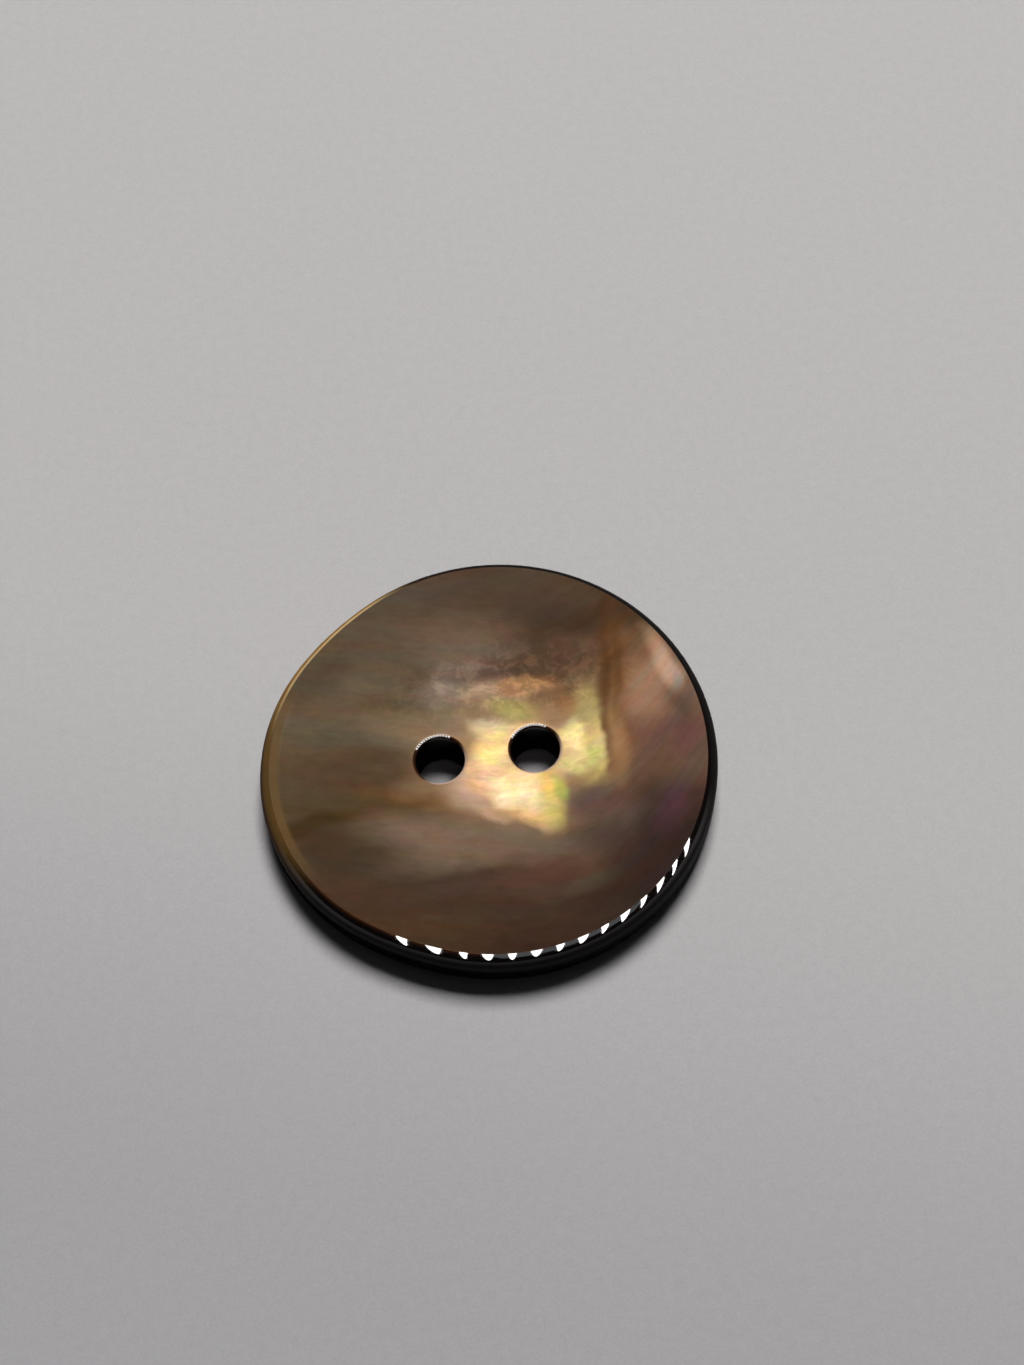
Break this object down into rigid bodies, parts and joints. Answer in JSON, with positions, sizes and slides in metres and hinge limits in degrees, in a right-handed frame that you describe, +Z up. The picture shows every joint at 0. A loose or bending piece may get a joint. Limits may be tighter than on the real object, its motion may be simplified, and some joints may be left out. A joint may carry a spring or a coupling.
{
  "type": "sew-on button",
  "caption": "Flat sew-on shell button in dark mother-of-pearl, polished, slightly out of round, with round thread holes side by side in the middle.",
  "frame": {"origin": "on the resting plane of the back, under the middle of the outline, midway between the thread holes", "axes": "+Z up through the pearly face, +X along the line of the thread holes and away from the tighter end of the outline"},
  "size_m": [0.0204, 0.0196, 0.0026],
  "materials": {
    "nacre": "polished pearly shell, smoky brown with gold, green and rose lustre",
    "amber_shell": "polished honey-brown shell",
    "dark_shell": "polished near-black brown shell"
  },
  "bodies": {
    "root": {"nacre_face": "nacre", "amber_band": "amber_shell", "dark_back": "dark_shell"}
  },
  "joints": []
}
